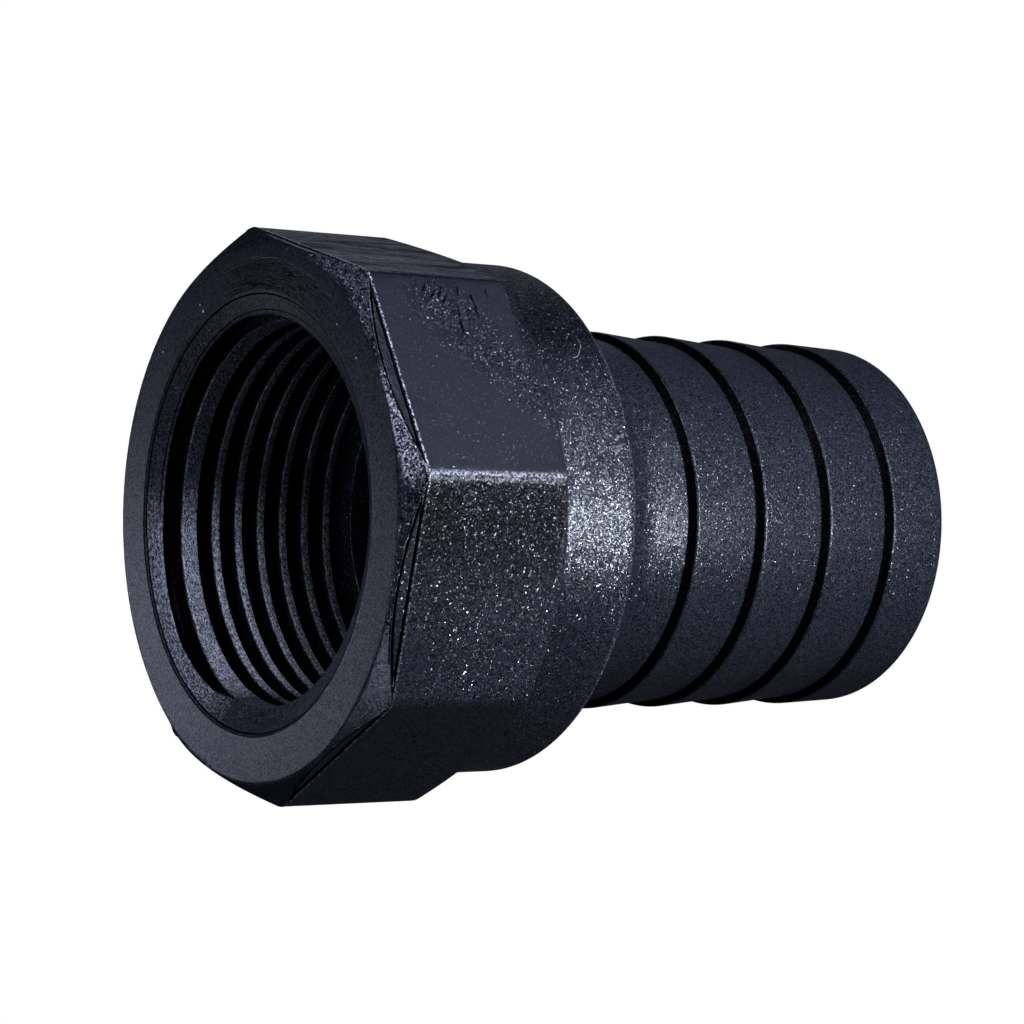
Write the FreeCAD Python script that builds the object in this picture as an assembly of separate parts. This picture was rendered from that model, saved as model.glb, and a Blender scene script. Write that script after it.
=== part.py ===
import FreeCAD, Part
import math
import os

# Thru hull adapter, moulded in one piece: an eight-sided wrench head round a threaded
# socket, a round collar behind it, and a barbed hose tail with a bore right through.
# Millimetres, +Z up. The part stands on its tail end with the socket mouth on top, and
# the origin is the centre of the tail end.

# Bore of the tail, which every other radius is built out from
tail_bore_d = 27.0
tail_bore_bevel = 0.4

# Threaded socket, bored at the crests of its thread
shoulder_width = 2.0        # radial step from the tail's bore out to the crests
socket_depth = 18.0         # mouth face to the shoulder
mouth_flare = 2.4           # how much wider the rim is than the crests, on the radius
mouth_bevel = 0.5           # radial width of the bevel at the rim
mouth_bevel_depth = 0.25
lead_in_angle = 61.0        # half angle of the cone that leads into the thread

# Wrench head
head_wall = 6.3             # crests of the thread to the flats
head_sides = 8
head_length = 14.1          # mouth face to where the corners end
corner_round = 1.0          # radius down each corner
face_ring_inset = 0.05      # the mouth face's edge is a circle this far inside the flats
front_cone_depth = 1.6      # depth of the cone from that edge out to the corners
back_cone_angle = 35.0      # the corners fall away behind by this many degrees from square

# Collar
collar_inset = 0.5          # the collar is this far inside the flats
collar_length = 22.7        # mouth face to the back edge of the collar
collar_rim_round = 1.1
collar_back_angle = 20.0    # its back slopes into the neck by this many degrees from square

# Hose tail for 32 mm hose
tail_wall = 2.2             # bore to the foot of each barb
barb_height = 0.6
barb_count = 4
barb_pitch = 7.25
barb_step = 0.6             # length of the steep side of a barb, which faces the head
barb_land = 0.3             # narrow flat round its crest
neck_cove_round = 6.0
neck_length = 9.6           # collar edge to the foot of the first barb
nose_length = 6.85          # foot of the last barb to the tail end
nose_rise = 0.35            # the tail end's height over the foot of the barbs
nose_bevel = 0.6

# Radii that follow from these sizes
bore_radius = tail_bore_d / 2
socket_radius = bore_radius + shoulder_width
mouth_radius = socket_radius + mouth_flare
flat_radius = socket_radius + head_wall
corner_radius = flat_radius / math.cos(math.pi / head_sides)
face_ring_radius = flat_radius - face_ring_inset
collar_radius = flat_radius - collar_inset
root_radius = bore_radius + tail_wall
barb_radius = root_radius + barb_height
nose_radius = root_radius + nose_rise

# Heights of the main edges, counted up from the tail end
collar_back_z = neck_length + barb_pitch * (barb_count - 1) + nose_length
mouth_z = collar_back_z + collar_length
head_back_z = mouth_z - head_length
shoulder_z = mouth_z - socket_depth
overrun = 2.0               # how far a cutting shape reaches past the faces it opens


def slope(degrees):
    return math.tan(math.radians(degrees))


def corner_reach(before, corner, after, radius):
    """Distance from a corner to where its rounding starts, on both sides."""
    turn = (corner - before).getAngle(after - corner)
    return radius * math.tan(turn / 2)


def rounded_face(corners):
    """Closed flat face from (radius, height, rounding) corners, in the XZ plane.

    Where two roundings would meet on a short side, both shrink to fit it.
    """
    count = len(corners)
    points = [FreeCAD.Vector(r, 0, z) for r, z, _ in corners]
    reaches = []
    for i in range(count):
        after = points[(i + 1) % count]
        reaches.append(corner_reach(points[i - 1], points[i], after, corners[i][2]))
    fits = [1.0] * count
    for i in range(count):
        j = (i + 1) % count
        wanted = reaches[i] + reaches[j]
        room = 0.98 * (points[j] - points[i]).Length
        if wanted > room:
            fits[i] = min(fits[i], room / wanted)
            fits[j] = min(fits[j], room / wanted)
    edges = []
    first = None
    last = None
    for i in range(count):
        corner = points[i]
        reach = reaches[i] * fits[i]
        if reach > 0:
            back = (points[i - 1] - corner).normalize()
            ahead = (points[(i + 1) % count] - corner).normalize()
            start = corner + back * reach
            end = corner + ahead * reach
            inward = (back + ahead).normalize()
            radius = corners[i][2] * fits[i]
            centre = corner + inward * math.hypot(radius, reach)
            middle = centre - inward * radius
            arc = Part.Arc(start, middle, end).toShape()
        else:
            start = corner
            end = corner
            arc = None
        if last is not None:
            edges.append(Part.LineSegment(last, start).toShape())
        else:
            first = start
        if arc is not None:
            edges.append(arc)
        last = end
    edges.append(Part.LineSegment(last, first).toShape())
    return Part.Face(Part.Wire(edges))


def turned(corners):
    """Solid of revolution about Z from (radius, height, rounding) corners."""
    axis = FreeCAD.Vector(0, 0, 1)
    return rounded_face(corners).revolve(FreeCAD.Vector(0, 0, 0), axis, 360)


def wrench_head():
    """Block with flat sides whose corners run out into a cone at the front and the back."""
    half_side = math.pi / head_sides
    corners = []
    for i in range(head_sides + 1):
        angle = (2 * i + 1) * half_side
        x = corner_radius * math.cos(angle)
        y = corner_radius * math.sin(angle)
        corners.append(FreeCAD.Vector(x, y, collar_back_z))
    base = Part.Face(Part.makePolygon(corners))
    block = base.extrude(FreeCAD.Vector(0, 0, collar_length))
    uprights = []
    for edge in block.Edges:
        rise = edge.BoundBox.ZMax - edge.BoundBox.ZMin
        if rise > 0.5 * collar_length:
            uprights.append(edge)
    block = block.makeFillet(corner_round, uprights)

    back_drop = (corner_radius - collar_radius) * slope(back_cone_angle)
    blank = turned([
        (0, head_back_z - back_drop, 0),
        (collar_radius, head_back_z - back_drop, 0),
        (corner_radius, head_back_z, 0),
        (corner_radius, mouth_z - front_cone_depth, 0),
        (face_ring_radius, mouth_z, 0),
        (0, mouth_z, 0),
    ])
    return block.common(blank)


def round_body():
    """Collar, neck and barbed hose tail, without the bore."""
    neck_z = collar_back_z - (collar_radius - root_radius) * slope(collar_back_angle)
    corners = [
        (0, head_back_z, 0),
        (collar_radius, head_back_z, 0),
        (collar_radius, collar_back_z, collar_rim_round),
        (root_radius, neck_z, neck_cove_round),
    ]
    for i in range(barb_count):
        foot_z = collar_back_z - neck_length - i * barb_pitch
        corners.append((root_radius, foot_z, 0))
        corners.append((barb_radius, foot_z - barb_step, 0))
        corners.append((barb_radius, foot_z - barb_step - barb_land, 0))
    corners.append((nose_radius, nose_bevel, 0))
    corners.append((nose_radius - nose_bevel, 0, 0))
    corners.append((0, 0, 0))
    return turned(corners)


def through_bore():
    """Everything that is hollow: the socket with its lead-in, and the bore of the tail."""
    lead_radius = mouth_radius - mouth_bevel
    lead_z = mouth_z - mouth_bevel_depth
    lead_length = (lead_radius - socket_radius) / slope(lead_in_angle)
    bevel_radius = bore_radius + tail_bore_bevel
    return turned([
        (0, -overrun, 0),
        (bevel_radius, -overrun, 0),
        (bevel_radius, 0, 0),
        (bore_radius, tail_bore_bevel, 0),
        (bore_radius, shoulder_z, 0),
        (socket_radius, shoulder_z, 0),
        (socket_radius, lead_z - lead_length, 0),
        (lead_radius, lead_z, 0),
        (mouth_radius, mouth_z, 0),
        (mouth_radius, mouth_z + overrun, 0),
        (0, mouth_z + overrun, 0),
    ])


adapter = wrench_head().fuse(round_body()).removeSplitter().cut(through_bore())
if adapter.ShapeType == "Compound" and len(adapter.Solids) == 1:
    adapter = adapter.Solids[0]

os.makedirs("parts", exist_ok=True)
adapter.exportStep("parts/adapter_body.step")
print("length", round(mouth_z, 2), "volume cm3", round(adapter.Volume / 1000, 2), "valid", adapter.isValid())
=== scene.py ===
from functools import partial, reduce
import math

import bpy
from mathutils import Matrix, Vector


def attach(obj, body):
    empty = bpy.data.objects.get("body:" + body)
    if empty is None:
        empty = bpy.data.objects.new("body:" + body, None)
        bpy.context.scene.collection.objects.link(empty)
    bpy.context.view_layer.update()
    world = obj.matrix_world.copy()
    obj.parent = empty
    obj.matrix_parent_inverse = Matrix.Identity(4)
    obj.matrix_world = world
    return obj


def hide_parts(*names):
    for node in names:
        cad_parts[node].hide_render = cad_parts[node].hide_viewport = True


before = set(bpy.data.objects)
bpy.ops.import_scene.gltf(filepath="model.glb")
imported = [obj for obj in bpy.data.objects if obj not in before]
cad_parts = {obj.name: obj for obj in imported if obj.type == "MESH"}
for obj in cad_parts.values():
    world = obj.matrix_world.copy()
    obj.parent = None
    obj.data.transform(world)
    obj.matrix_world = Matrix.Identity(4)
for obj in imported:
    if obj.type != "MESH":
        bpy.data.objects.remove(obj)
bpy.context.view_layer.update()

mm = 0.001
scene = bpy.context.scene


# Small helpers for node trees. A value is a number or another node's output.

def connect(tree, value, socket):
    if isinstance(value, bpy.types.NodeSocket):
        tree.links.new(value, socket)
    else:
        socket.default_value = value


def maths(tree, operation, *values):
    node = tree.nodes.new("ShaderNodeMath")
    node.operation = operation
    for value, socket in zip(values, node.inputs):
        connect(tree, value, socket)
    return node.outputs[0]


def arrange(tree):
    # Lays the nodes out in columns by how far each is from the start, so the tree can be read.
    depth = {node: 0 for node in tree.nodes}
    for _ in range(60):
        moved = False
        for wire in tree.links:
            if depth[wire.to_node] <= depth[wire.from_node]:
                depth[wire.to_node] = depth[wire.from_node] + 1
                moved = True
        if not moved:
            break
    filled = {}
    for node in tree.nodes:
        column = depth[node]
        filled[column] = filled.get(column, 0) + 1
        node.location = (column * 190, -filled[column] * 150)


# The adapter's sizes in millimetres, as its drawing gives them.
adapterSizes = {
    "height": 60.9,
    "columns": 256,              # a multiple of 8; they crowd together at the corners
    "cornerCrowding": 0.75,
    "flat": 21.8,                # centre to a flat of the wrench head
    "cornerRound": 1.6,
    "faceRing": 21.58,           # the mouth face turns into the front cone here
    "ringSoftness": 0.12,
    "frontSlope": 0.80,
    "backSlope": math.tan(math.radians(35)),
    "headBack": 14.1,            # depths are counted from the mouth face
    "rearRound": 0.4,
    "cornerReach": 23.596,       # where the cones would reach on a sharp corner
    "stripInset": 0.12,          # the strip ahead of the parting line is this much lower
    "partingDepth": 1.50,
    "collar": 21.3,
    "collarBack": 22.7,
    "collarRim": 1.1,
    "neckSlope": math.tan(math.radians(20)),
    "neckRound": 6.0,
    "root": 15.7,
    "barb": 16.3,
    "barbCount": 4,
    "barbPitch": 7.25,
    "barbStep": 0.6,
    "firstBarb": 32.3,           # depth of the foot of the first barb
    "barbRound": 0.35,
    "nose": 16.05,
    "noseRound": 0.9,
    "edgeRound": 0.12,           # small rounding of the sharp edges
    "mouth": 17.9,
    "leadTop": 17.4,
    "leadTopDepth": 0.25,
    "leadSlope": math.tan(math.radians(61)),
    "bore": 13.5,
    "boreBevel": 0.4,
    "shoulderDepth": 18.0,
}

threadSizes = {
    "pitch": 2.209,
    "crest": 15.5,
    "crestHalf": 0.3,            # half the width of a crest's flat
    "depth": 1.2,
    "flankSlope": 1.732,
    "softness": 0.12,
    "crestDepth": 5.77,          # where a crest lies on the line at crestAngle
    "crestAngle": 105.27,
    "startAngle": 200.27,        # the first groove starts here, on the mouth's lower side
    "startDepth": 0.68,          # at this depth, and moves off faster than the thread
    "startRise": 3.364,
    "holdDepth": 1.58,           # until it runs level
    "joinRise": 4.736,           # and then falls back into the thread
    "startFade": 0.15,           # share of a turn in which it reaches full depth
    "startNarrow": 0.35,         # how much narrower each half of it is at its start
    "holdWiden": 0.15,           # and how much wider where it has its full depth
    "helixTop": 5.6,             # rows follow the helix below this depth
}


def roundedLine(corners):
    # Points along a bent line of (radius, height, rounding, steps) corners, each rounding
    # framed by a close row so that the flat beside it stays flat in smooth shading.
    points = [Vector(corner[:2]) for corner in corners]

    def sides(i):
        # Directions from a corner back and ahead along the line, and half the angle between
        back = (points[i - 1] - points[i]).normalized()
        ahead = (points[i + 1] - points[i]).normalized()
        return back, ahead, back.angle(ahead) / 2

    reaches = [0.0] * len(corners)
    for i in range(1, len(corners) - 1):
        reaches[i] = corners[i][2] / math.tan(sides(i)[2])
    line = [points[0]]
    for i in range(1, len(corners) - 1):
        radius, steps = corners[i][2:4]
        back, ahead, half = sides(i)
        sweep = math.pi - 2 * half
        centre = points[i] + (back + ahead).normalized() * radius / math.sin(half)
        start = points[i] + back * reaches[i] - centre
        end = points[i] + ahead * reaches[i] - centre
        roomBack = (points[i - 1] - points[i]).length - reaches[i] - reaches[i - 1]
        roomAhead = (points[i + 1] - points[i]).length - reaches[i] - reaches[i + 1]
        line.append(centre + start + back * min(0.1, roomBack / 3))
        for k in range(steps + 1):
            first = math.sin((1 - k / steps) * sweep)
            last = math.sin(k / steps * sweep)
            line.append(centre + (start * first + end * last) / math.sin(sweep))
        line.append(centre + end + ahead * min(0.1, roomAhead / 3))
    line.append(points[-1])
    return [tuple(point) for point in line]


def sectionRows():
    # The closed section, from the rim of the mouth outwards, down the outside and up the
    # bore. Each row is (radius, height, follow, front, back, thread, helix, coarse, shade,
    # rim): follow is how much of the eight-sided outline is added to the radius, front and
    # back say which cone bends the height, coarse is how rough the moulded grain is, shade
    # is how much painted shade darkens a crease, a step, a steep side or an edge, and rim is
    # how strong a painted highlight along an edge is.
    s = adapterSizes
    top = s["height"]
    rows = []

    def add(radius, height, follow=0.0, front=0.0, back=0.0, thread=0.0, helix=0.0,
            coarse=0.3, shade=0.0, rim=0.0):
        rows.append((radius, height, follow, front, back, thread, helix, coarse, shade, rim))

    # Mouth face
    mouthEdge = roundedLine([
        (s["leadTop"], top - s["leadTopDepth"], 0, 0), (s["mouth"], top, s["edgeRound"], 3),
        (s["mouth"] + 1, top, 0, 0)])
    for radius, height in mouthEdge[1:-1]:
        add(radius, height, coarse=0.1)
    inner = s["faceRing"] - 0.5
    for share in (0.12, 0.35, 0.6, 0.8, 0.93, 1.0):
        add(s["mouth"] + (inner - s["mouth"]) * share, top, coarse=0.1)
    steps = 11
    for k in range(1, steps + 1):
        share = k / steps * 0.97
        rough = 0.1 + 0.9 * min(1.0, max(0.0, share * 3 - 0.6))
        add(inner * (1 - share), top, follow=share, front=1.0, coarse=rough)

    # Edge between the front cone and the flats, with a fine crease under it darkened by painted shade
    slope = s["frontSlope"]
    cone = Vector((-1, slope)).normalized()
    edge = roundedLine([tuple(cone) + (0, 0), (0, 0, s["edgeRound"], 3), (0, -1, 0, 0)])
    for radius, height in edge[2:-2]:
        add(radius, height + top + slope * radius, follow=1.0, front=1.0, coarse=0.9)
    inset = -s["stripInset"]
    crease = ((0.4, 0.07, 1.0), (1.4, 0.11, 1.0), (1.4, 0.33, 1.0), (1.0, 0.37, 0.5), (1.0, 0.41, 0.0))
    for share, below, shadeAndDulling in crease:
        add(inset * share, top - below + slope * inset * share, follow=1.0, front=1.0, shade=shadeAndDulling)

    # Parting line: the flats stand a little proud behind it, with a thin bead. Painted shade
    # darkens the step and a painted highlight lies along the bead
    parting = top - s["partingDepth"]
    partingStep = (
        (inset, 0.24, 0.0, 0.0), (inset, 0.19, 1.0, 0.0), (inset * 1.5, 0.02, 1.0, 0.0),
        (-0.03, -0.02, 0.8, 0.3), (0.0, -0.05, 0.0, 1.0), (0.0, -0.17, 0.0, 1.0),
        (-0.02, -0.21, 0.0, 0.2), (-0.02, -0.28, 0.0, 0.0))
    for radius, rise, shadeAndDulling, edgeHighlight in partingStep:
        add(radius, parting + rise, follow=1.0, shade=shadeAndDulling, rim=edgeHighlight)
    backHeight = top - s["headBack"]
    first = parting - 0.6
    for share in (0.0, 0.3, 0.6, 0.85, 0.95):
        height = first * (1 - share) + (backHeight + 0.45) * share
        add(-0.02 * (1 - share), height, follow=1.0, back=share)

    # Rear edge of the flats, with a painted highlight along its rounding, the back cone and the
    # soft hollow where it meets the collar
    backCone = Vector((-1, -s["backSlope"])).normalized()
    rear = roundedLine([(0, 1, 0, 0), (0, 0, s["rearRound"], 6), tuple(backCone) + (0, 0)])
    for radius, height in rear[1:-1]:
        edgeHighlight = 0.45 if -0.45 < height < -0.02 and radius > -0.3 else 0.0
        add(radius, backHeight + height - s["backSlope"] * radius, follow=1.0, back=1.0, rim=edgeHighlight)
    foot = backHeight - (s["cornerReach"] - s["collar"]) * s["backSlope"]
    hollow = roundedLine([
        tuple(Vector((s["collar"], foot)) - backCone) + (0, 0),
        (s["collar"], foot, 0.35, 4), (s["collar"], foot - 2, 0, 0)])
    for radius, height in hollow[2:-1]:
        add(radius, height, coarse=0.45)

    # Collar, neck, barbs and nose, then up the bore to the shoulder
    collarBack = top - s["collarBack"]
    neck = collarBack - (s["collar"] - s["root"]) * s["neckSlope"]
    corners = [
        (s["collar"], foot - 1, 0, 0),
        (s["collar"], collarBack, s["collarRim"], 8),
        (s["root"], neck, s["neckRound"], 14),
    ]
    for k in range(s["barbCount"]):
        barbFoot = top - s["firstBarb"] - k * s["barbPitch"]
        corners.append((s["root"], barbFoot, s["edgeRound"], 2))
        corners.append((s["barb"], barbFoot - s["barbStep"], s["barbRound"], 5))
    corners += [
        (s["nose"], 0, s["noseRound"], 8),
        (s["bore"] + s["boreBevel"], 0, s["edgeRound"], 2),
        (s["bore"], s["boreBevel"], s["edgeRound"], 2),
        (s["bore"], top - s["shoulderDepth"], 0.15, 3),
        (threadSizes["crest"], top - s["shoulderDepth"], 0, 0),
    ]
    feet = [top - s["firstBarb"] - k * s["barbPitch"] for k in range(s["barbCount"])]
    for radius, height in roundedLine(corners)[1:-1]:
        below = [barbFoot - height for barbFoot in feet]
        # Painted shade darkens the barbs' steep sides and dims their crest edges; a painted highlight
        # lies along the collar's rear rim
        sideEnd = s["barbStep"] - 0.08
        edgeEnd = s["barbStep"] + 0.10
        steep = any(-0.10 < drop < sideEnd for drop in below) and s["root"] - 0.01 < radius
        edge = any(sideEnd <= drop < edgeEnd for drop in below) and radius > s["root"]
        onRim = abs(height - collarBack) < 0.45 and radius > s["collar"] - 0.75
        shadeAndDulling = 0.96 if steep else 0.35 if edge else 0.0
        add(radius, height, coarse=0.45, shade=shadeAndDulling, rim=0.15 if onRim else 0.0)

    # Socket: rows that follow the helix, then level rows through the thread's start
    t = threadSizes
    shoulder = top - s["shoulderDepth"]
    helixTop = top - t["helixTop"]
    crestHeight = top - t["crestDepth"] - t["pitch"] * t["crestAngle"] / 360
    half = t["crestHalf"]
    flankEnd = half + t["depth"] / t["flankSlope"]
    offsets = [0.0, half - 0.09, half, half + 0.1, (half + flankEnd) / 2]
    offsets += [flankEnd - 0.1, flankEnd, t["pitch"] / 2 - 0.04]
    levels = set()
    for turn in range(-10, 3):
        for offset in offsets:
            for side in (-1, 1):
                height = crestHeight + turn * t["pitch"] + side * offset
                if shoulder - t["pitch"] - 0.05 < height < helixTop + 0.05:
                    levels.add(round(height, 4))
    for height in [shoulder] + sorted(levels):
        add(0.0, height, thread=1.0, helix=1.0)
    leadTop = top - s["leadTopDepth"]
    steps = 66
    for k in range(steps + 1):
        add(0.0, helixTop + (leadTop - helixTop) * k / steps, thread=1.0)
    return rows


def sectionObject(rows):
    # The section as a line of points that carries one named number per column of the rows.
    mesh = bpy.data.meshes.new("section")
    mesh.from_pydata([(row[0] * mm, 0, row[1] * mm) for row in rows], [], [])
    names = ("follow", "front", "back", "thread", "helix", "coarse", "shade", "rim")
    for place, name in enumerate(names, start=2):
        values = mesh.attributes.new(name, "FLOAT", "POINT")
        values.data.foreach_set("value", [row[place] for row in rows])
    section = bpy.data.objects.new("section", mesh)
    scene.collection.objects.link(section)
    return section


def turningTree():
    # Sweeps the section round Z: one grid, whose columns are angles and whose rows are the
    # section's points. The outline and the thread are formulas of the angle.
    tree = bpy.data.node_groups.new("turnedAdapter", "GeometryNodeTree")
    face = tree.interface
    face.new_socket("Section", in_out="INPUT", socket_type="NodeSocketGeometry")
    a = adapterSizes
    t = threadSizes
    wanted = {
        "Columns": a["columns"],
        "Corner Crowding": a["cornerCrowding"],
        "Flat": a["flat"] * mm,
        "Corner Round": a["cornerRound"] * mm,
        "Face Ring": a["faceRing"] * mm,
        "Ring Softness": a["ringSoftness"] * mm,
        "Front Slope": a["frontSlope"],
        "Corner Reach": a["cornerReach"] * mm,
        "Back Slope": a["backSlope"],
        "Lead Top": a["leadTop"] * mm,
        "Lead Top Height": (a["height"] - a["leadTopDepth"]) * mm,
        "Lead Slope": a["leadSlope"],
        "Shoulder Height": (a["height"] - a["shoulderDepth"]) * mm,
        "Helix Top": (a["height"] - t["helixTop"]) * mm,
        "Mouth Height": a["height"] * mm,
        "Pitch": t["pitch"] * mm,
        "Crest": t["crest"] * mm,
        "Crest Half": t["crestHalf"] * mm,
        "Thread Depth": t["depth"] * mm,
        "Flank Slope": t["flankSlope"],
        "Thread Softness": t["softness"] * mm,
        "Crest Depth": t["crestDepth"] * mm,
        "Crest Angle": math.radians(t["crestAngle"]),
        "Start Angle": math.radians(t["startAngle"]),
        "Start Depth": t["startDepth"] * mm,
        "Start Rise": t["startRise"] * mm,
        "Hold Depth": t["holdDepth"] * mm,
        "Join Rise": t["joinRise"] * mm,
        "Start Narrow": t["startNarrow"] * mm,
        "Hold Widen": t["holdWiden"] * mm,
        "Start Fade": t["startFade"],
    }
    for name, value in wanted.items():
        kind = "NodeSocketInt" if name == "Columns" else "NodeSocketFloat"
        face.new_socket(name, in_out="INPUT", socket_type=kind)
    face.new_socket("Finish", in_out="INPUT", socket_type="NodeSocketMaterial")
    face.new_socket("Mesh", in_out="OUTPUT", socket_type="NodeSocketGeometry")
    given = tree.nodes.new("NodeGroupInput").outputs
    m = partial(maths, tree)
    section = given["Section"]
    count = tree.nodes.new("GeometryNodeAttributeDomainSize")
    count.component = "MESH"
    tree.links.new(section, count.inputs["Geometry"])
    rows = count.outputs["Point Count"]
    grid = tree.nodes.new("GeometryNodeMeshGrid")
    connect(tree, 1.0, grid.inputs["Size X"])
    connect(tree, 1.0, grid.inputs["Size Y"])
    connect(tree, m("ADD", given["Columns"], 1.0), grid.inputs["Vertices X"])
    connect(tree, m("ADD", rows, 1.0), grid.inputs["Vertices Y"])
    place = tree.nodes.new("GeometryNodeInputPosition")
    split = tree.nodes.new("ShaderNodeSeparateXYZ")
    tree.links.new(place.outputs[0], split.inputs[0])
    turn = m("ADD", split.outputs["X"], 0.5)          # 0 to 1 round the axis
    row = m("ROUND", m("MULTIPLY", m("ADD", split.outputs["Y"], 0.5), rows))
    row = m("MODULO", row, rows)                      # the last row is the first

    # Angle of each column, crowded towards the corners
    even = m("MULTIPLY", turn, 2 * math.pi)
    wave = m("SINE", m("MULTIPLY", m("SUBTRACT", even, math.pi / 8), 8.0))
    angle = m("SUBTRACT", even, m("MULTIPLY", m("MULTIPLY", given["Corner Crowding"], wave), 0.125))

    def fromSection(name):
        sample = tree.nodes.new("GeometryNodeSampleIndex")
        sample.data_type = "FLOAT"
        tree.links.new(section, sample.inputs["Geometry"])
        if name in ("x", "z"):
            where = tree.nodes.new("GeometryNodeInputPosition")
            parts = tree.nodes.new("ShaderNodeSeparateXYZ")
            tree.links.new(where.outputs[0], parts.inputs[0])
            tree.links.new(parts.outputs[name.upper()], sample.inputs["Value"])
        else:
            named = tree.nodes.new("GeometryNodeInputNamedAttribute")
            named.data_type = "FLOAT"
            named.inputs["Name"].default_value = name
            tree.links.new(named.outputs["Attribute"], sample.inputs["Value"])
        tree.links.new(row, sample.inputs["Index"])
        return sample.outputs["Value"]

    # Outline of the wrench head: flats, and an arc over each corner
    toCorner = m("PINGPONG", m("SUBTRACT", angle, math.pi / 8), math.pi / 8)
    onFlat = m("DIVIDE", given["Flat"], m("COSINE", m("SUBTRACT", math.pi / 8, toCorner)))
    middle = m("DIVIDE", m("SUBTRACT", given["Flat"], given["Corner Round"]), math.cos(math.pi / 8))
    across = m("MULTIPLY", middle, m("SINE", toCorner))
    arc = given["Corner Round"]
    chord = m("SUBTRACT", m("MULTIPLY", arc, arc), m("MULTIPLY", across, across))
    onArc = m("ADD", m("MULTIPLY", middle, m("COSINE", toCorner)), m("SQRT", m("MAXIMUM", chord, 0.0)))
    arcEnd = m("ARCTAN2", m("MULTIPLY", arc, math.sin(math.pi / 8)),
               m("ADD", middle, m("MULTIPLY", arc, math.cos(math.pi / 8))))
    inArc = m("LESS_THAN", toCorner, arcEnd)
    outline = m("ADD", onFlat, m("MULTIPLY", inArc, m("SUBTRACT", onArc, onFlat)))

    # Plain rows: radius and height from the section, bent by the outline and the two cones
    plainRadius = m("ADD", fromSection("x"), m("MULTIPLY", fromSection("follow"), outline))
    beyond = m("MULTIPLY", m("SUBTRACT", plainRadius, given["Face Ring"]), given["Front Slope"])
    drop = m("SMOOTH_MAX", beyond, 0.0, given["Ring Softness"])
    lift = m("MULTIPLY", m("SUBTRACT", plainRadius, given["Corner Reach"]), given["Back Slope"])
    height = m("SUBTRACT", fromSection("z"), m("MULTIPLY", fromSection("front"), drop))
    height = m("ADD", height, m("MULTIPLY", fromSection("back"), lift))

    # Thread rows: those on the helix climb with the angle and stop at both ends
    helix = fromSection("helix")
    climb = m("MULTIPLY", given["Pitch"], m("DIVIDE", angle, 2 * math.pi))
    climbed = m("MAXIMUM", m("ADD", height, climb), given["Shoulder Height"])
    climbed = m("MINIMUM", climbed, given["Helix Top"])
    height = m("ADD", height, m("MULTIPLY", helix, m("SUBTRACT", climbed, height)))
    depth = m("SUBTRACT", given["Mouth Height"], height)

    def groove(fromMiddle, narrower):
        # Depth of a groove at a distance from its middle line
        edge = m("SUBTRACT", m("MULTIPLY", given["Pitch"], 0.5), given["Crest Half"])
        edge = m("SUBTRACT", m("SUBTRACT", edge, fromMiddle), narrower)
        rise = m("MULTIPLY", edge, given["Flank Slope"])
        rise = m("SMOOTH_MAX", rise, 0.0, given["Thread Softness"])
        return m("SMOOTH_MIN", rise, given["Thread Depth"], given["Thread Softness"])

    # How far round its own turn a column is, counted clockwise from where the thread starts
    clockwise = m("DIVIDE", m("SUBTRACT", given["Start Angle"], angle), 2 * math.pi)
    clockwise = m("SUBTRACT", clockwise, m("FLOOR", clockwise))
    fromStart = m("DIVIDE", m("SUBTRACT", given["Start Angle"], given["Crest Angle"]), 2 * math.pi)
    along = m("MULTIPLY", given["Pitch"], m("SUBTRACT", clockwise, fromStart))
    onHelix = m("SUBTRACT", depth, m("ADD", given["Crest Depth"], along))    # 0 on the crests' line
    toCrest = m("PINGPONG", onHelix, m("MULTIPLY", given["Pitch"], 0.5))
    toGroove = m("SUBTRACT", m("MULTIPLY", given["Pitch"], 0.5), toCrest)
    begun = m("GREATER_THAN", onHelix, m("MULTIPLY", given["Pitch"], -1.0))
    regular = m("MULTIPLY", groove(toGroove, 0.0), begun)

    # The first turn lies nearer the mouth, grows from nothing and joins the others at its end
    leaving = m("ADD", given["Start Depth"], m("MULTIPLY", given["Start Rise"], clockwise))
    lastDepth = m("MULTIPLY", given["Pitch"], m("ADD", fromStart, 0.5))
    lastDepth = m("SUBTRACT", given["Crest Depth"], lastDepth)
    joining = m("SUBTRACT", lastDepth, m("MULTIPLY", given["Join Rise"], m("SUBTRACT", 1.0, clockwise)))
    firstDepth = m("MAXIMUM", m("MINIMUM", leaving, given["Hold Depth"]), joining)
    toFirst = m("ABSOLUTE", m("SUBTRACT", depth, firstDepth))
    grown = m("MINIMUM", m("DIVIDE", clockwise, given["Start Fade"]), 1.0)
    narrower = m("MULTIPLY", given["Start Narrow"], m("SUBTRACT", 1.0, grown))
    narrower = m("SUBTRACT", narrower, m("MULTIPLY", given["Hold Widen"], grown))
    first = m("MULTIPLY", groove(toFirst, narrower), grown)
    threadRadius = m("ADD", given["Crest"], m("MAXIMUM", regular, first))
    lead = m("MULTIPLY", m("SUBTRACT", height, given["Lead Top Height"]), given["Lead Slope"])
    lead = m("ADD", given["Lead Top"], lead)
    threadRadius = m("SMOOTH_MAX", threadRadius, lead, given["Thread Softness"])

    # How far a point lies sunk in a groove, from 0 to 1, and how much of it is crest
    thread = fromSection("thread")
    ground = m("MAXIMUM", given["Crest"], lead)
    sunk = m("DIVIDE", m("SUBTRACT", m("SUBTRACT", threadRadius, ground), 0.04 * mm), 0.14 * mm)
    sunk = m("MULTIPLY", thread, m("MINIMUM", m("MAXIMUM", sunk, 0.0), 1.0))
    crest = m("MULTIPLY", thread, m("SUBTRACT", 1.0, sunk))
    radius = m("ADD", plainRadius, m("MULTIPLY", thread, m("SUBTRACT", threadRadius, plainRadius)))

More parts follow.
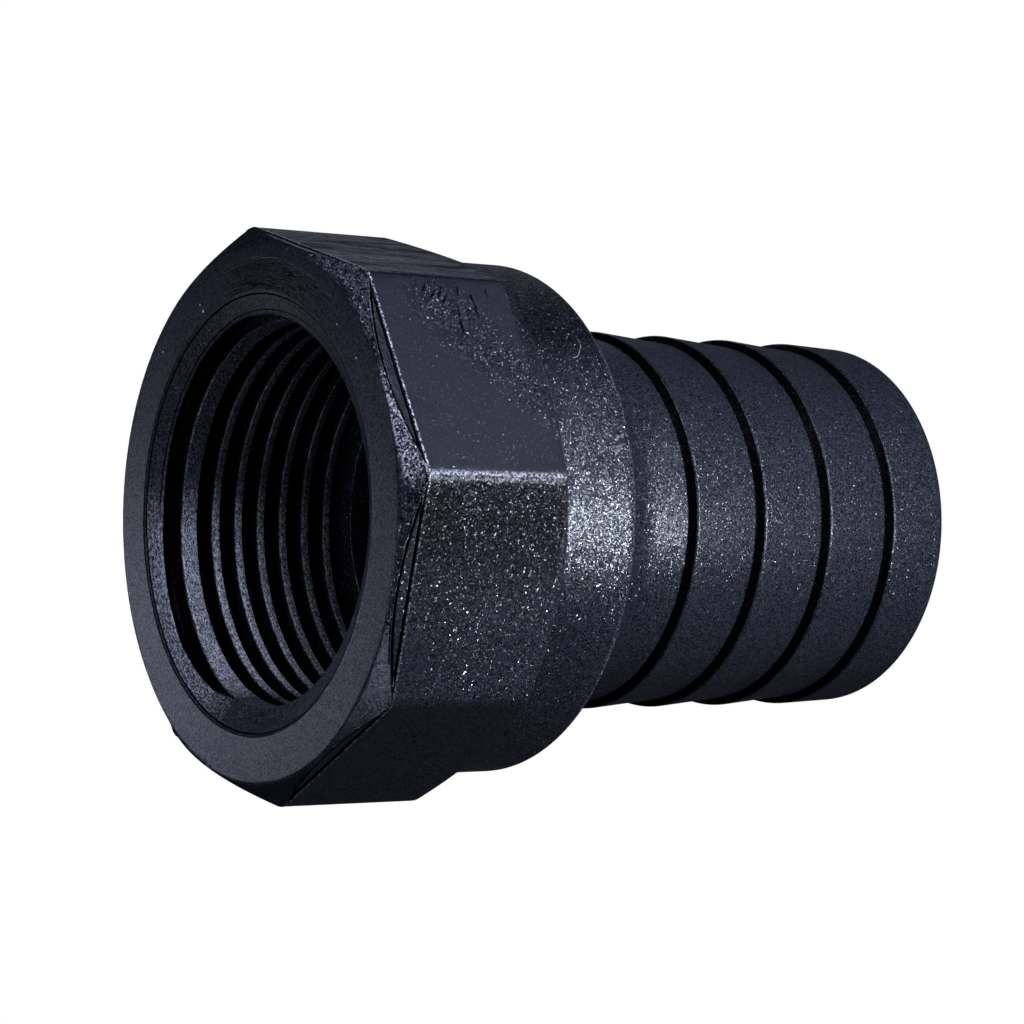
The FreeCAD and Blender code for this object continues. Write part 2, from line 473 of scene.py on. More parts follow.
    spot = tree.nodes.new("ShaderNodeCombineXYZ")
    tree.links.new(m("MULTIPLY", radius, m("COSINE", angle)), spot.inputs["X"])
    tree.links.new(m("MULTIPLY", radius, m("SINE", angle)), spot.inputs["Y"])
    tree.links.new(height, spot.inputs["Z"])

    # Keep the grain, the painted shade, the painted edge highlights, the thread's crests and how
    # far points lie sunk in the grooves on the mesh, put the points in place, close the seams and
    # give it its material
    marked = grid.outputs["Mesh"]
    carried = [(name, fromSection(name)) for name in ("coarse", "shade", "rim")]
    for name, value in carried + [("crest", crest), ("sunk", sunk)]:
        keep = tree.nodes.new("GeometryNodeStoreNamedAttribute")
        keep.data_type = "FLOAT"
        keep.inputs["Name"].default_value = name
        tree.links.new(marked, keep.inputs["Geometry"])
        tree.links.new(value, keep.inputs["Value"])
        marked = keep.outputs["Geometry"]
    for kind, socket, value in (
            ("SetPosition", "Position", spot.outputs[0]),
            ("MergeByDistance", "Distance", 0.002 * mm),
            ("SetShadeSmooth", "Shade Smooth", True),
            ("RealizeInstances", "Realize All", True),
            ("SetMaterial", "Material", given["Finish"])):
        node = tree.nodes.new("GeometryNode" + kind)
        tree.links.new(marked, node.inputs["Geometry"])
        connect(tree, value, node.inputs[socket])
        marked = node.outputs["Geometry"]
    outlet = tree.nodes.new("NodeGroupOutput")
    tree.links.new(marked, outlet.inputs["Mesh"])
    arrange(tree)
    return tree, wanted


def makeAdapter(finish):
    section = sectionObject(sectionRows())
    tree, wanted = turningTree()
    sweep = section.modifiers.new("turnedAdapter", "NODES")
    sweep.node_group = tree
    for item in tree.interface.items_tree:
        if item.in_out == "INPUT" and item.name in wanted:
            sweep[item.identifier] = wanted[item.name]
        if item.in_out == "INPUT" and item.name == "Finish":
            sweep[item.identifier] = finish
    graph = bpy.context.evaluated_depsgraph_get()
    mesh = bpy.data.meshes.new_from_object(section.evaluated_get(graph))
    mesh.name = "adapterBody"
    bpy.data.objects.remove(section)
    adapter = bpy.data.objects.new("adapterBody", mesh)
    scene.collection.objects.link(adapter)
    return adapter


# The moulded plastic: near black, filled with glass, so the grain glitters where light
# strikes it squarely. Sizes are in millimetres, and the "Rougher" values are added to the
# roughness there.
plasticLook = {
    "colour": (0.0118, 0.0132, 0.0188, 1.0),
    "scuffAndHighlightColour": (0.50, 0.52, 0.58, 1.0),        # pale paint of the crests, scuffs and painted light, and of painted highlights on lit corners
    "edgeHighlightColour": (0.42, 0.44, 0.50, 1.0),          # painted highlights on edges of the parting line and the collar
    "fleckColour": (0.75, 0.76, 0.80, 1.0),
    "roughness": 0.26,
    "grainSize": 0.17,
    "grainHeight": 0.010,
    "fineSize": 0.07,
    "fineHeight": 0.007,
    "facetSize": 0.105,
    "facetTilt": 0.42,
    "mottle": 0.90,
    "fleckSize": 0.115,
    "fleckShare": 0.09,
    "flowHeight": 0.26,
    "wrinkleHeight": 0.07,
    "crackDepth": 0.14,
    "crackWidth": 0.09,
    "fleckWidth": 0.13,
    "fibreWidth": 0.05,
    "fibrePaleness": 0.32,
    "specularTint": (0.90, 0.93, 1.0, 1.0),
    "faceRougher": 0.10,
    "streaksRougher": 0.35,
    "ringsRougher": 0.40,
    "tailRougher": 0.08,
    "tailFlatter": 0.35,         # how much less the tail's facets lean
}

# Where the marks lie: from, to and how softly they end. Turns are in degrees round the
# axis, the others in millimetres, and depths are counted from the mouth face.
markPlaces = {
    "faceRadius": (18.0, 21.7, 0.1),
    "flatsDepth": (1.75, 14.6, 0.1),
    "collarDepth": (15.6, 22.4, 0.3),
    "behindDepth": (14.2, 22.2, 0.4),
    "behindTurn": (-30.0, 60.0, 16.0),
    "patchSlant": (1.0, 5.5, 3.2),
    "patchDepth": (5.5, 15.0, 2.0),
    "wrinklesTurn": (-16.0, 22.0, 9.0),
    "wrinklesRadius": (18.2, 20.0, 0.7),
    "firstRing": (0.13, 0.17, 0.03),
    "secondRing": (0.31, 0.33, 0.02),
    "thirdRing": (0.55, 0.56, 0.02),
    "lastRing": (0.79, 0.83, 0.03),
    "lastRingTurn": (-25.0, 100.0, 12.0),
    "shadedLeadTurn": (-30.0, 75.0, 30.0),
    "upperEdgeTurn": (-22.75, -22.45, 0.25),
    "litSideTurn": (118.0, 160.0, 26.0),
    "ridgeTurn": (-67.9, -67.3, 0.9),
    "cornerTurn": (-66.0, -47.0, 4.0),
    "upperCornerTurn": (-34.0, -12.0, 6.0),
}

# Bright flecks on the mouth face, from one (x, y) place to another
faceFlecks = [
    (13.82, 12.20, 14.02, 12.30), (14.25, 12.85, 14.35, 12.95), (17.25, -8.40, 17.35, -8.30),
    (15.40, -11.80, 15.48, -11.72), (9.15, 17.85, 9.25, 17.95),
]

# A pale fibre on the collar, from one (along the round, depth) place to another
fibre = [
    (-12.05, 20.55, -12.55, 20.70), (-12.55, 20.70, -13.35, 20.30),
    (-13.35, 20.30, -14.05, 19.75), (-14.05, 19.75, -14.30, 19.10),
]

# Short cracks on the upper flat, from one (across, depth) place to another
cracks = [
    (7.79, 7.43, 6.81, 6.65), (7.92, 7.94, 6.95, 7.35), (8.12, 9.51, 7.09, 9.27),
    (7.29, 8.30, 6.42, 7.65), (6.23, 8.99, 3.64, 8.61), (7.45, 10.52, 6.53, 10.60),
    (6.53, 10.60, 5.33, 10.67), (8.04, 12.14, 7.28, 12.08), (8.18, 6.53, 7.41, 6.01),
]


def newGroup(name, inputs, outputs):
    group = bpy.data.node_groups.new(name, "ShaderNodeTree")
    for title, kind, value in inputs:
        socket = group.interface.new_socket(title, in_out="INPUT", socket_type="NodeSocket" + kind)
        if value is not None:
            socket.default_value = value
    for title, kind in outputs:
        group.interface.new_socket(title, in_out="OUTPUT", socket_type="NodeSocket" + kind)
    return group, group.nodes.new("NodeGroupInput").outputs, group.nodes.new("NodeGroupOutput").inputs


def vectorMaths(tree, operation, first, second):
    node = tree.nodes.new("ShaderNodeVectorMath")
    node.operation = operation
    connect(tree, first, node.inputs[0])
    connect(tree, second, node.inputs["Scale"] if operation == "SCALE" else node.inputs[1])
    return node.outputs[0]


def combine(tree, x, y, z):
    node = tree.nodes.new("ShaderNodeCombineXYZ")
    for value, socket in zip((x, y, z), node.inputs):
        connect(tree, value, socket)
    return node.outputs[0]


def noise(tree, place, size, detail=2.0, rough=0.5, distortion=0.0):
    node = tree.nodes.new("ShaderNodeTexNoise")
    tree.links.new(place, node.inputs["Vector"])
    connect(tree, maths(tree, "DIVIDE", 1.0, size), node.inputs["Scale"])
    node.inputs["Detail"].default_value = detail
    node.inputs["Roughness"].default_value = rough
    node.inputs["Distortion"].default_value = distortion
    return node.outputs["Fac"]


def ramp(tree, value, low, high, outLow=0.0, outHigh=1.0):
    node = tree.nodes.new("ShaderNodeMapRange")
    node.interpolation_type = "SMOOTHSTEP"
    names = ("Value", "From Min", "From Max", "To Min", "To Max")
    for name, number in zip(names, (value, low, high, outLow, outHigh)):
        connect(tree, number, node.inputs[name])
    return node.outputs[0]


def window(tree, value, low, high, soft):
    # 1 between low and high, fading to 0 over the softness on both sides
    rise = ramp(tree, value, low - soft, low)
    fall = ramp(tree, value, high + soft, high)
    return maths(tree, "MULTIPLY", rise, fall)


def mixColour(tree, factor, first, second):
    node = tree.nodes.new("ShaderNodeMix")
    node.data_type = "RGBA"
    connect(tree, factor, node.inputs["Factor"])
    connect(tree, first, node.inputs["A"])
    connect(tree, second, node.inputs["B"])
    return node.outputs["Result"]


def useGroup(tree, group, **values):
    node = tree.nodes.new("ShaderNodeGroup")
    node.node_tree = group
    for name, value in values.items():
        connect(tree, value, node.inputs[name.replace("_", " ")])
    return node.outputs


def placeGroup():
    # Where a point lies on the part: in millimetres, round the axis, and on which flat
    group, given, out = newGroup("placeOnPart", [("Place", "Vector", None)], [
        ("Millimetres", "Vector"), ("Radius", "Float"), ("Turn", "Float"), ("Depth", "Float"),
        ("Side", "Float"), ("Across", "Float")])
    m = partial(maths, group)
    scaled = vectorMaths(group, "SCALE", given["Place"], 1 / mm)
    parts = group.nodes.new("ShaderNodeSeparateXYZ")
    group.links.new(scaled, parts.inputs[0])
    x, y, z = parts.outputs
    radius = m("SQRT", m("ADD", m("MULTIPLY", x, x), m("MULTIPLY", y, y)))
    turn = m("MULTIPLY", m("ARCTAN2", y, x), 180 / math.pi)
    side = m("ROUND", m("DIVIDE", turn, 45.0))
    offset = m("RADIANS", m("SUBTRACT", turn, m("MULTIPLY", side, 45.0)))
    depth = m("SUBTRACT", adapterSizes["height"], z)
    across = m("MULTIPLY", radius, m("SINE", offset))
    for value, socket in zip((scaled, radius, turn, depth, side, across), out):
        group.links.new(value, socket)
    arrange(group)
    return group


def fleckGroup():
    # Scattered specks of filler: one small dot in a few of the cells
    inputs = [("Place", "Vector", None), ("Size", "Float", 0.2), ("Share", "Float", 0.05)]
    group, given, out = newGroup("fillerSpecks", inputs, [("Mask", "Float")])
    cells = group.nodes.new("ShaderNodeTexVoronoi")
    group.links.new(given["Place"], cells.inputs["Vector"])
    group.links.new(maths(group, "DIVIDE", 1.0, given["Size"]), cells.inputs["Scale"])
    parts = group.nodes.new("ShaderNodeSeparateColor")
    group.links.new(cells.outputs["Color"], parts.inputs[0])
    chosen = maths(group, "LESS_THAN", parts.outputs[0], given["Share"])
    reach = maths(group, "ADD", 0.15, maths(group, "MULTIPLY", parts.outputs[1], 0.30))
    dot = ramp(group, cells.outputs["Distance"], reach, maths(group, "MULTIPLY", reach, 0.5))
    group.links.new(maths(group, "MULTIPLY", chosen, dot), out["Mask"])
    arrange(group)
    return group


def grainGroup():
    # Height of the moulded grain: coarse lumps and a fine tooth over them
    inputs = [("Place", "Vector", None), ("Coarse", "Float", 0.5), ("Size", "Float", 0.16),
              ("Height", "Float", 0.03), ("Fine Size", "Float", 0.07), ("Fine Height", "Float", 0.004)]
    group, given, out = newGroup("mouldedGrain", inputs, [("Height", "Float")])
    lumps = noise(group, given["Place"], given["Size"], 2.0, 0.6)
    tooth = noise(group, given["Place"], given["Fine Size"], 1.0, 0.5)
    lumps = maths(group, "MULTIPLY", maths(group, "MULTIPLY", lumps, given["Height"]), given["Coarse"])
    tooth = maths(group, "MULTIPLY", tooth, given["Fine Height"])
    group.links.new(maths(group, "ADD", lumps, tooth), out["Height"])
    arrange(group)
    return group


def facetGroup():
    # The grain's small facets: each cell leans the normal its own way, most of them a
    # little and a few a lot, so that single ones catch a lamp and the rest stay dark
    inputs = [("Place", "Vector", None), ("Normal", "Vector", None), ("Size", "Float", 0.13),
              ("Tilt", "Float", 0.3)]
    group, given, out = newGroup("grainFacets", inputs, [("Normal", "Vector"), ("Chance", "Float")])
    cells = group.nodes.new("ShaderNodeTexVoronoi")
    group.links.new(given["Place"], cells.inputs["Vector"])
    group.links.new(maths(group, "DIVIDE", 1.0, given["Size"]), cells.inputs["Scale"])
    chance = group.nodes.new("ShaderNodeTexWhiteNoise")
    chance.noise_dimensions = "3D"
    group.links.new(cells.outputs["Color"], chance.inputs["Vector"])
    rare = maths(group, "MULTIPLY", maths(group, "POWER", chance.outputs["Value"], 6.0), 2.2)
    tilt = maths(group, "MULTIPLY", given["Tilt"], 2.0)
    tilt = maths(group, "MULTIPLY", tilt, maths(group, "ADD", 0.7, rare))
    lean = vectorMaths(group, "SUBTRACT", cells.outputs["Color"], (0.5, 0.5, 0.5))
    lean = vectorMaths(group, "SCALE", lean, tilt)
    leant = vectorMaths(group, "ADD", lean, given["Normal"])
    unit = group.nodes.new("ShaderNodeVectorMath")
    unit.operation = "NORMALIZE"
    group.links.new(leant, unit.inputs[0])
    group.links.new(unit.outputs[0], out["Normal"])
    group.links.new(chance.outputs["Value"], out["Chance"])
    arrange(group)
    return group


def lineGroup():
    # Thin wandering lines, where a stretched noise passes through its middle value
    inputs = [("Place", "Vector", None), ("Size", "Float", 1.0), ("Width", "Float", 0.03)]
    group, given, out = newGroup("thinLines", inputs, [("Mask", "Float")])
    value = noise(group, given["Place"], given["Size"], 2.0, 0.5, 0.25)
    away = maths(group, "ABSOLUTE", maths(group, "SUBTRACT", value, 0.5))
    group.links.new(ramp(group, away, given["Width"], 0.0), out["Mask"])
    arrange(group)
    return group


def strokeGroup():
    # A straight stroke from (X1, Y1) to (X2, Y2), widest in its middle
    names = ("X", "Y", "X1", "Y1", "X2", "Y2", "Width")
    values = (0.0, 0.0, 0.0, 0.0, 1.0, 0.0, 0.06)
    inputs = [(name, "Float", value) for name, value in zip(names, values)]
    group, given, out = newGroup("stroke", inputs, [("Mask", "Float")])
    m = partial(maths, group)
    runX = m("SUBTRACT", given["X2"], given["X1"])
    runY = m("SUBTRACT", given["Y2"], given["Y1"])
    toX = m("SUBTRACT", given["X"], given["X1"])
    toY = m("SUBTRACT", given["Y"], given["Y1"])
    squared = m("ADD", m("MULTIPLY", runX, runX), m("MULTIPLY", runY, runY))
    share = m("DIVIDE", m("ADD", m("MULTIPLY", toX, runX), m("MULTIPLY", toY, runY)), squared)
    share = m("MINIMUM", m("MAXIMUM", share, 0.0), 1.0)
    awayX = m("SUBTRACT", toX, m("MULTIPLY", share, runX))
    awayY = m("SUBTRACT", toY, m("MULTIPLY", share, runY))
    away = m("SQRT", m("ADD", m("MULTIPLY", awayX, awayX), m("MULTIPLY", awayY, awayY)))
    fromMiddle = m("ABSOLUTE", m("SUBTRACT", m("MULTIPLY", share, 2.0), 1.0))
    body = m("SUBTRACT", 1.0, m("POWER", fromMiddle, 3.0))
    width = m("MULTIPLY", given["Width"], m("ADD", 0.35, m("MULTIPLY", body, 0.65)))
    group.links.new(ramp(group, away, width, m("MULTIPLY", width, 0.4)), out["Mask"])
    arrange(group)
    return group


def makePlastic():
    look = plasticLook
    material = bpy.data.materials.new("blackPlastic")
    material.use_nodes = True
    tree = material.node_tree
    shader = tree.nodes["Principled BSDF"]
    m = partial(maths, tree)

    def within(value, name):
        return window(tree, value, *markPlaces[name])

    def product(*values):
        return reduce(partial(m, "MULTIPLY"), values)

    def largest(*values):
        return reduce(partial(m, "MAXIMUM"), values)

    def attribute(name):
        node = tree.nodes.new("ShaderNodeAttribute")
        node.attribute_name = name
        return node.outputs["Fac"]

    names = ("coarse", "crest", "shade", "rim", "sunk")
    coarse, crest, shade, rim, sunk = [attribute(name) for name in names]
    here = tree.nodes.new("ShaderNodeTexCoord").outputs["Object"]
    place, radius, turn, depth, side, across = useGroup(tree, placeGroup(), Place=here)

    # Regions: the mouth face, three of the flats, the collar, its upper side behind the
    # flats, the smoother cones at the bottom, the tail and the lead-in
    onFace = product(m("LESS_THAN", depth, 0.06), within(radius, "faceRadius"))
    onFlats = product(m("GREATER_THAN", radius, 21.5), within(depth, "flatsDepth"))
    topFlat = product(onFlats, m("COMPARE", side, 0.0, 0.5))
    upperFlat = product(onFlats, m("COMPARE", side, -1.0, 0.5))
    markFlat = product(onFlats, m("COMPARE", side, -2.0, 0.5))
    onCollar = within(depth, "collarDepth")
    behind = product(within(depth, "behindDepth"), within(turn, "behindTurn"))
    smoothCones = product(m("LESS_THAN", depth, 4.0), m("GREATER_THAN", radius, 21.0))
    smoothCones = product(smoothCones, ramp(tree, turn, -96.0, -101.0))
    onTail = ramp(tree, depth, 24.0, 33.0)
    inMouth = product(m("LESS_THAN", radius, 17.93), m("LESS_THAN", depth, 1.3))

    # Patches where the grain stands up more: a slanting one on the upper flat, and clouds
    slant = m("ADD", across, m("SUBTRACT", depth, 10.0))
    patch = product(upperFlat, within(slant, "patchSlant"), within(depth, "patchDepth"))
    clouds = ramp(tree, noise(tree, place, 2.6, 2.0), 0.40, 0.62)
    smoothUpper = product(upperFlat, m("SUBTRACT", 1.0, patch))
    tilt = m("ADD", coarse, product(patch, 0.5, clouds))
    tilt = m("ADD", tilt, product(markFlat, m("MULTIPLY", clouds, 0.20)))
    tilt = m("SUBTRACT", tilt, product(smoothUpper, 0.12))
    tilt = m("ADD", tilt, product(behind, 0.5))
    tilt = product(tilt, m("SUBTRACT", 1.0, product(smoothCones, 0.85)))
    tilt = product(tilt, m("SUBTRACT", 1.0, product(onTail, look["tailFlatter"])))

    # Flow lines along the top flat, and wrinkles over the mouth
    streaks = noise(tree, combine(tree, across, m("MULTIPLY", depth, 0.16), side), 1.7, 5.0, 0.75, 0.6)
    flow = product(topFlat, look["flowHeight"], streaks)
    dullStreaks = product(topFlat, ramp(tree, streaks, 0.60, 0.36))
    arcs = combine(tree, m("MULTIPLY", radius, 2.1), m("MULTIPLY", turn, 0.075), depth)
    wrinkles = useGroup(tree, lineGroup(), Place=arcs, Size=1.0, Width=0.05)["Mask"]
    overMouth = product(within(turn, "wrinklesTurn"), within(radius, "wrinklesRadius"))
    wrinkled = product(onFace, wrinkles, overMouth)

    # Cracks beside the upper edge, flecks on the face, and the fibre on the collar
    stroke = strokeGroup()

    def strokes(ends, x, y, width):
        # All the strokes of a list, measured along two directions x and y
        found = 0.0
        for x1, y1, x2, y2 in ends:
            one = useGroup(tree, stroke, X=x, Y=y, X1=x1, Y1=y1, X2=x2, Y2=y2, Width=width)
            found = largest(found, one["Mask"])
        return found

    wobble = m("MULTIPLY", m("SUBTRACT", noise(tree, place, 0.45, 2.0), 0.5), 0.5)
    cracked = product(upperFlat, strokes(cracks, across, m("ADD", depth, wobble), look["crackWidth"]))
    parts = tree.nodes.new("ShaderNodeSeparateXYZ")
    tree.links.new(place, parts.inputs[0])
    flecked = strokes(faceFlecks, parts.outputs["X"], parts.outputs["Y"], look["fleckWidth"])
    roundIt = m("MULTIPLY", turn, adapterSizes["collar"] * math.pi / 180)
    onFibre = strokes(fibre, roundIt, depth, look["fibreWidth"])
    pale = largest(product(flecked, onFace), product(onFibre, onCollar, look["fibrePaleness"]))

    # Turned ring marks on the lead-in, painted shade on one side of it, the line along the upper
    # edge, and fine dark mottling
    wavy = m("ADD", depth, m("MULTIPLY", m("SUBTRACT", noise(tree, place, 3.0, 1.0), 0.5), 0.06))
    second = product(within(wavy, "secondRing"), 0.55)
    third = product(within(wavy, "thirdRing"), 0.35)
    last = product(within(wavy, "lastRing"), within(turn, "lastRingTurn"), 0.95)
    # Painted shade over one side of the lead-in
    shadedLead = product(within(turn, "shadedLeadTurn"), 0.5)
    rings = product(largest(within(wavy, "firstRing"), second, third, last, shadedLead), inMouth)
    upperEdge = product(onFlats, within(turn, "upperEdgeTurn"), 0.75)
    dustiness = m("SUBTRACT", m("ADD", 0.8, m("MULTIPLY", tilt, 0.5)), product(smoothUpper, 0.65))

    # Heights of it all, and the facets leaning on top
    grain = useGroup(tree, grainGroup(), Place=place, Coarse=tilt, Size=look["grainSize"],
                     Height=look["grainHeight"], Fine_Size=look["fineSize"],
                     Fine_Height=look["fineHeight"])
    height = m("ADD", grain["Height"], flow)
    height = m("SUBTRACT", height, product(wrinkled, look["wrinkleHeight"]))
    height = m("SUBTRACT", height, product(cracked, look["crackDepth"]))
    bump = tree.nodes.new("ShaderNodeBump")
    bump.inputs["Distance"].default_value = mm
    tree.links.new(height, bump.inputs["Height"])
    facets = useGroup(tree, facetGroup(), Place=place, Normal=bump.outputs[0], Size=look["facetSize"],
                      Tilt=m("MULTIPLY", look["facetTilt"], tilt))
    tree.links.new(facets["Normal"], shader.inputs["Normal"])
    uneven = m("MULTIPLY", m("SUBTRACT", facets["Chance"], 0.5), 2.0)
    mottle = m("MAXIMUM", m("ADD", 1.0, product(uneven, look["mottle"], dustiness)), 0.05)

    # Colour: cloudy black, the crests paler with scuffs and painted light, painted highlights on
    # lit cone corners, the ridge and edges, bright specks, and darkening by dulled marks and painted
    # shade
    cloudy = m("ADD", 0.8, m("MULTIPLY", noise(tree, place, 1.2, 3.0), 0.4))
    base = tree.nodes.new("ShaderNodeRGB")
    base.outputs[0].default_value = look["colour"]
    tint = vectorMaths(tree, "SCALE", base.outputs[0], cloudy)
    # The crests' paleness: scratches plus painted light, strongest on one side of the mouth and dimmed
    # by painted shade deeper in
    stretched = combine(tree, m("MULTIPLY", turn, 0.12), m("MULTIPLY", depth, 1.6), radius)
    scratched = ramp(tree, noise(tree, stretched, 0.16, 2.0), 0.36, 0.62, 0.15, 1.0)
    litSide = m("ADD", 0.09, m("MULTIPLY", within(turn, "litSideTurn"), 0.91))
    deeper = ramp(tree, depth, 14.0, 5.0, 0.45, 1.0)
    scuffAndLight = product(crest, scratched, litSide, m("SUBTRACT", 1.0, product(inMouth, 0.45)), deeper)
    # Painted highlights on the cone corners and the ridge that face the lamps, broken into patches
    onCones = product(ramp(tree, coarse, 0.35, 0.7), m("GREATER_THAN", radius, 21.5))
    ridge = product(onFlats, within(turn, "ridgeTurn"))
    paintedHighlight = m("ADD", within(turn, "cornerTurn"), product(within(turn, "upperCornerTurn"), 0.13))
    paintedHighlight = product(onCones, paintedHighlight)
    paintedHighlight = product(m("ADD", paintedHighlight, ridge), 0.75)
    highlightPatches = ramp(tree, noise(tree, place, 0.26, 2.0, 0.7), 0.42, 0.58)
    tint = mixColour(tree, largest(scuffAndLight, product(paintedHighlight, highlightPatches)), tint, look["scuffAndHighlightColour"])
    specks = useGroup(tree, fleckGroup(), Place=place, Size=look["fleckSize"], Share=look["fleckShare"])
    often = m("ADD", product(patch, clouds), product(markFlat, 0.2))
    often = m("ADD", often, m("ADD", product(onCollar, clouds, 0.7), product(behind, 0.5)))
    often = m("MINIMUM", m("ADD", often, 0.05), 1.0)
    tint = mixColour(tree, largest(product(specks["Mask"], often, 0.8), pale), tint, look["fleckColour"])
    # Painted highlight along edges, broken into patches: full on the collar, elsewhere fainter at turns
    # below -66
    patchy = ramp(tree, noise(tree, place, 0.22, 1.0), 0.44, 0.58)
    rim = product(rim, largest(onCollar, ramp(tree, turn, -73.0, -66.0, 0.25, 1.0)))
    tint = mixColour(tree, product(rim, patchy), tint, look["edgeHighlightColour"])
    # Painted shade over one side of the mark flat
    shadedMarkFlat = product(markFlat, ramp(tree, across, -3.0, 6.0), 0.62)
    # Darkening of colour and specular: dulled cracks, wrinkles, flow streaks and ring marks, and painted
    # shade from the section's shade rows, the grooves, one side of the lead-in, the collar behind the
    # flats and one side of the mark flat, besides the line along the upper edge
    shadeAndDulling = largest(cracked, product(wrinkled, 0.85), shade, product(dullStreaks, 0.80),
                   product(sunk, 0.95), rings, upperEdge, product(behind, 0.55), shadedMarkFlat)
    bright = product(m("SUBTRACT", 1.0, shadeAndDulling), mottle)
    tree.links.new(vectorMaths(tree, "SCALE", tint, bright), shader.inputs["Base Color"])
    tree.links.new(product(bright, 0.5), shader.inputs["Specular IOR Level"])
    roughness = look["roughness"]
    for name, where in (("face", onFace), ("streaks", dullStreaks), ("rings", rings), ("tail", onTail)):
        roughness = m("ADD", roughness, m("MULTIPLY", where, look[name + "Rougher"]))
    tree.links.new(roughness, shader.inputs["Roughness"])
    shader.inputs["Specular Tint"].default_value = look["specularTint"]
    arrange(tree)
    return material


# Camera as the photograph was taken: the part stands upright and the camera is rolled,
# so that the mouth comes out on the picture's left.
cameraFacts = {
    "lens": 103.52,
    "place": (51.86, -197.13, 180.64),
    "right": (0.16617, -0.55677, -0.81388),
    "up": (0.96455, 0.26333, 0.01680),
}


def makeCamera():
    data = bpy.data.cameras.new("camera")
    data.lens = cameraFacts["lens"]
    data.sensor_width = 36.0
    data.clip_start = 0.01
    data.clip_end = 10.0
    camera = bpy.data.objects.new("camera", data)
    scene.collection.objects.link(camera)
    right = Vector(cameraFacts["right"]).normalized()
    up = Vector(cameraFacts["up"])
    up = (up - right * up.dot(right)).normalized()
    back = right.cross(up)
    turned = Matrix((right, up, back)).transposed().to_4x4()
    camera.matrix_world = Matrix.Translation(Vector(cameraFacts["place"]) * mm) @ turned
    scene.camera = camera


# A pale floor that the camera sees as white, and a dim even room. Lamps may stand below
# the floor's level, as they did beside the lying part, so it doesn't stop their light.
roomLook = {
    "floorSize": 1.6,
    "floorColour": (0.12, 0.12, 0.12, 1.0),
    "floorGlow": 0.985,
    "worldStrength": 0.004,
}


def makeRoom():
    half = roomLook["floorSize"] / 2
    mesh = bpy.data.meshes.new("floor")
    corners = [(-half, -half, 0), (half, -half, 0), (half, half, 0), (-half, half, 0)]
    mesh.from_pydata(corners, [], [(0, 1, 2, 3)])
    floor = bpy.data.objects.new("floor", mesh)
    scene.collection.objects.link(floor)
    paint = bpy.data.materials.new("floorPaint")
    paint.use_nodes = True
    tree = paint.node_tree
    shader = tree.nodes["Principled BSDF"]
    shader.inputs["Base Color"].default_value = roomLook["floorColour"]
    shader.inputs["Roughness"].default_value = 0.9
    shader.inputs["Specular IOR Level"].default_value = 0.0
    rays = tree.nodes.new("ShaderNodeLightPath")
    shader.inputs["Emission Color"].default_value = (1, 1, 1, 1)
    glow = maths(tree, "MULTIPLY", rays.outputs["Is Camera Ray"], roomLook["floorGlow"])
    tree.links.new(glow, shader.inputs["Emission Strength"])
    clear = tree.nodes.new("ShaderNodeBsdfTransparent")
    either = tree.nodes.new("ShaderNodeMixShader")
    tree.links.new(rays.outputs["Is Shadow Ray"], either.inputs[0])
    tree.links.new(shader.outputs[0], either.inputs[1])
    tree.links.new(clear.outputs[0], either.inputs[2])
    tree.links.new(either.outputs[0], tree.nodes["Material Output"].inputs["Surface"])
    arrange(tree)
    mesh.materials.append(paint)

    world = bpy.data.worlds.new("studio")
    scene.world = world
    world.use_nodes = True
    tree = world.node_tree
    plain = tree.nodes["Background"]
    rays = tree.nodes.new("ShaderNodeLightPath")
    dim = roomLook["worldStrength"]
    seen = maths(tree, "MULTIPLY", rays.outputs["Is Camera Ray"], 1 - dim)
    strength = maths(tree, "ADD", dim, seen)
    tree.links.new(strength, plain.inputs["Strength"])
    plain.inputs["Color"].default_value = (1, 1, 1, 1)


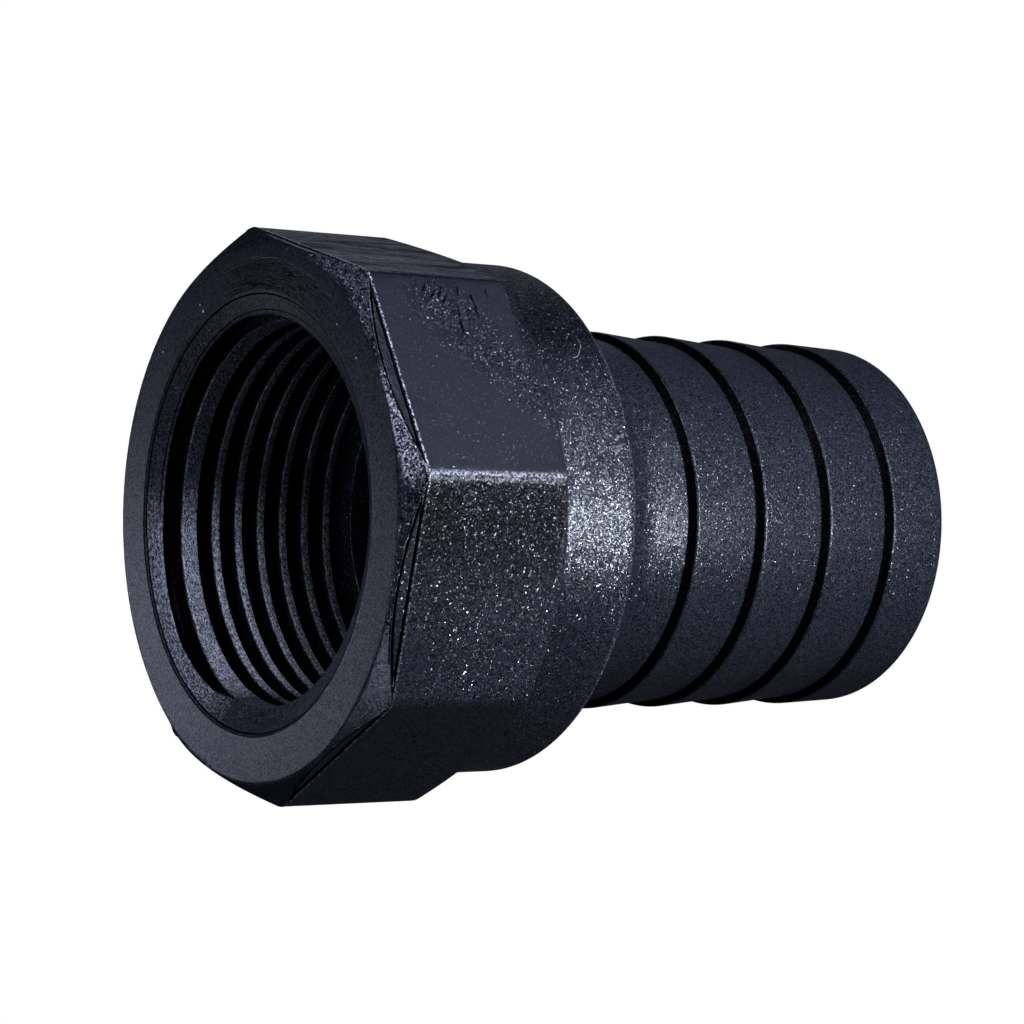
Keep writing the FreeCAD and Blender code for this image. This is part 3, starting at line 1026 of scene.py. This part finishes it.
# Lamps in metres and watts, set by their turn round the part, their rise over its level
# (the lowest stand below the floor), and the height on the axis that they aim at. One close
# to the collar makes the glint, the others light the upper side and the mouth. A lamp with
# no colour of its own has coolLight's.
coolLight = (0.75, 0.80, 1.0)
lamps = {
    "glint": {"turn": -78, "rise": -30, "far": 0.100, "size": 0.020, "power": 0.077, "aim": 0.050,
              "colour": (0.87, 0.92, 1.0)},
    "side": {"turn": -45, "rise": -15, "far": 0.220, "size": 0.070, "power": 0.280, "aim": 0.035},
    "upperSide": {"turn": -20, "rise": -25, "far": 0.220, "size": 0.070, "power": 0.0080, "aim": 0.035},
    "top": {"turn": 60, "rise": -25, "far": 0.250, "size": 0.100, "power": 0.011, "aim": 0.035},
    "overMouth": {"turn": -15, "rise": 20, "far": 0.250, "size": 0.080, "power": 0.300, "aim": 0.050},
    "upper": {"turn": 0, "rise": 60, "far": 0.250, "size": 0.100, "power": 0.085, "aim": 0.040},
    "front": {"turn": -75, "rise": 25, "far": 0.250, "size": 0.080, "power": 0.080, "aim": 0.050},
    "mouthLeft": {"turn": 108, "rise": 28, "far": 0.140, "size": 0.060, "power": 0.004, "aim": 0.060},
    "mouthLow": {"turn": 115, "rise": 23, "far": 0.130, "size": 0.050, "power": 0.0105, "aim": 0.060},
    "lowCorner": {"turn": 190, "rise": 50, "far": 0.200, "size": 0.080, "power": 0.018, "aim": 0.060},
    "under": {"turn": -140, "rise": 52, "far": 0.250, "size": 0.100, "power": 0.085, "aim": 0.050},
}


def makeLamps():
    for name, facts in lamps.items():
        data = bpy.data.lights.new(name, "AREA")
        data.shape = "DISK"
        data.size = facts["size"]
        data.energy = facts["power"]
        data.color = facts.get("colour", coolLight)
        data.cycles.use_multiple_importance_sampling = False
        lamp = bpy.data.objects.new(name, data)
        scene.collection.objects.link(lamp)
        turn = math.radians(facts["turn"])
        rise = math.radians(facts["rise"])
        aim = Vector((0, 0, facts["aim"]))
        level = math.cos(rise)
        toLamp = Vector((level * math.cos(turn), level * math.sin(turn), math.sin(rise)))
        lamp.location = aim + facts["far"] * toLamp
        lamp.rotation_euler = (-toLamp).to_track_quat("-Z", "Y").to_euler()


print("plastic")
plastic = makePlastic()
print("adapter")
adapterBody = makeAdapter(plastic)
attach(adapterBody, "root")
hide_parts("adapter_body")
print("camera, floor and lamps")
makeCamera()
makeRoom()
makeLamps()
scene.view_settings.view_transform = "Standard"

print("faces", len(adapterBody.data.polygons))
